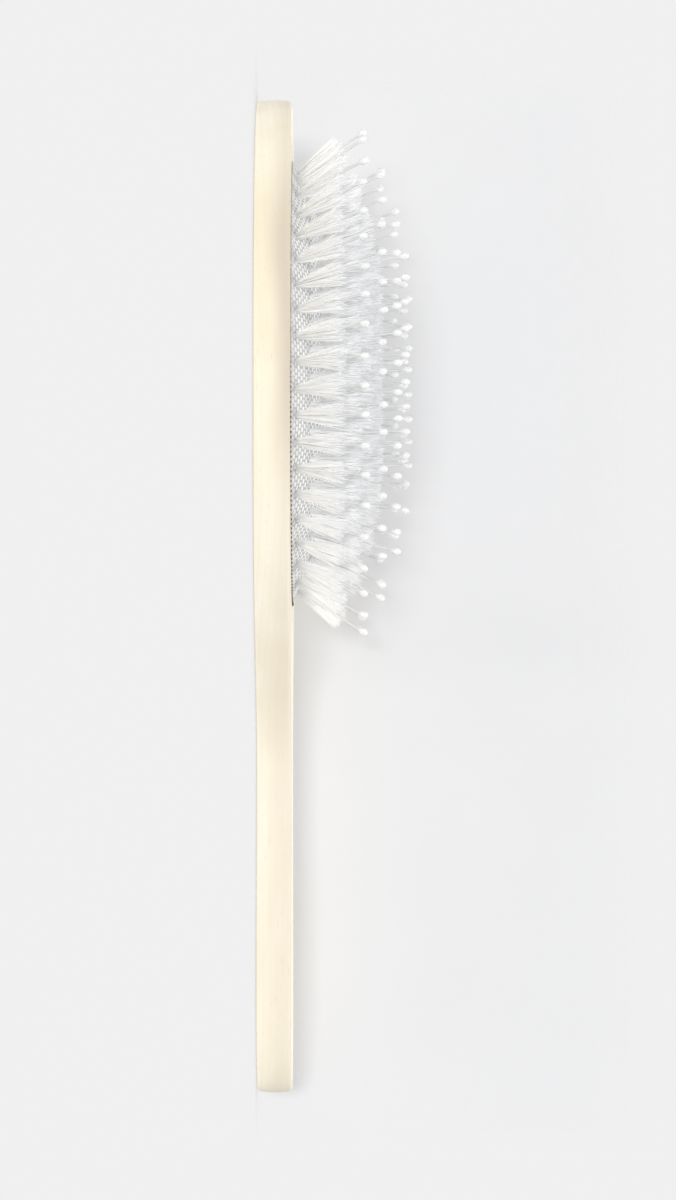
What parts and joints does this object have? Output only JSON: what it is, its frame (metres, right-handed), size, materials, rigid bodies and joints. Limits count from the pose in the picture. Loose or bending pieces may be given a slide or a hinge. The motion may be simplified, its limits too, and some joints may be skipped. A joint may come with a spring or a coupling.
{
  "type": "hair grooming brush",
  "caption": "Oval air-cushion hair brush: flat wooden body, cloth-faced rubber cushion, nylon tufts with longer ball-tipped pins.",
  "frame": {"origin": "middle of the brush's length and width, on its flat back", "axes": "+X along the brush from the head to the end of the grip, +Z from the flat back towards the bristles, +Y across"},
  "size_m": [0.24, 0.076, 0.0375],
  "materials": {
    "wood": "satin, pale, fine straight grain",
    "rubber": "matt",
    "cloth": "fine plain weave",
    "nylon": "translucent white filament"
  },
  "bodies": {
    "root": {"wooden_body": "wood", "rubber_cushion": "rubber", "facing_rim": "cloth"},
    "outer_row": {"outer_tufts_01": "nylon", "outer_tufts_02": "nylon", "outer_tufts_03": "nylon", "outer_tufts_04": "nylon", "outer_tufts_05": "nylon", "outer_tufts_06": "nylon", "outer_tufts_07": "nylon", "outer_tufts_08": "nylon", "outer_tufts_09": "nylon", "outer_tufts_10": "nylon"},
    "second_row": {"second_tufts_01": "nylon", "second_tufts_02": "nylon", "second_tufts_03": "nylon", "second_tufts_04": "nylon", "second_tufts_05": "nylon", "second_tufts_06": "nylon", "second_tufts_07": "nylon", "second_tufts_08": "nylon"},
    "third_row": {"third_tufts_01": "nylon", "third_tufts_02": "nylon", "third_tufts_03": "nylon", "third_tufts_04": "nylon", "third_tufts_05": "nylon", "third_tufts_06": "nylon"},
    "fourth_row": {"fourth_tufts_01": "nylon", "fourth_tufts_02": "nylon", "fourth_tufts_03": "nylon", "fourth_tufts_04": "nylon"},
    "centre_row": {"centre_tufts": "nylon"}
  },
  "joints": [
    {"name": "cushion_press", "type": "slide", "parent": "root", "child": "centre_row", "axis": [0, 0, -1], "range_m": [0, 0.004], "stiffness_N_per_m": 2500, "deforming": ["rubber_cushion"]},
    {"name": "outer_row_press", "type": "slide", "parent": "root", "child": "outer_row", "axis": [0, 0, -1], "range_m": [0, 0.000646]},
    {"name": "second_row_press", "type": "slide", "parent": "root", "child": "second_row", "axis": [0, 0, -1], "range_m": [0, 0.00204]},
    {"name": "third_row_press", "type": "slide", "parent": "root", "child": "third_row", "axis": [0, 0, -1], "range_m": [0, 0.00314]},
    {"name": "fourth_row_press", "type": "slide", "parent": "root", "child": "fourth_row", "axis": [0, 0, -1], "range_m": [0, 0.00379]}
  ],
  "couplings": [
    {"joint": "outer_row_press", "follows": "cushion_press", "ratio": 0.16133},
    {"joint": "second_row_press", "follows": "cushion_press", "ratio": 0.51},
    {"joint": "third_row_press", "follows": "cushion_press", "ratio": 0.78377},
    {"joint": "fourth_row_press", "follows": "cushion_press", "ratio": 0.94618}
  ]
}
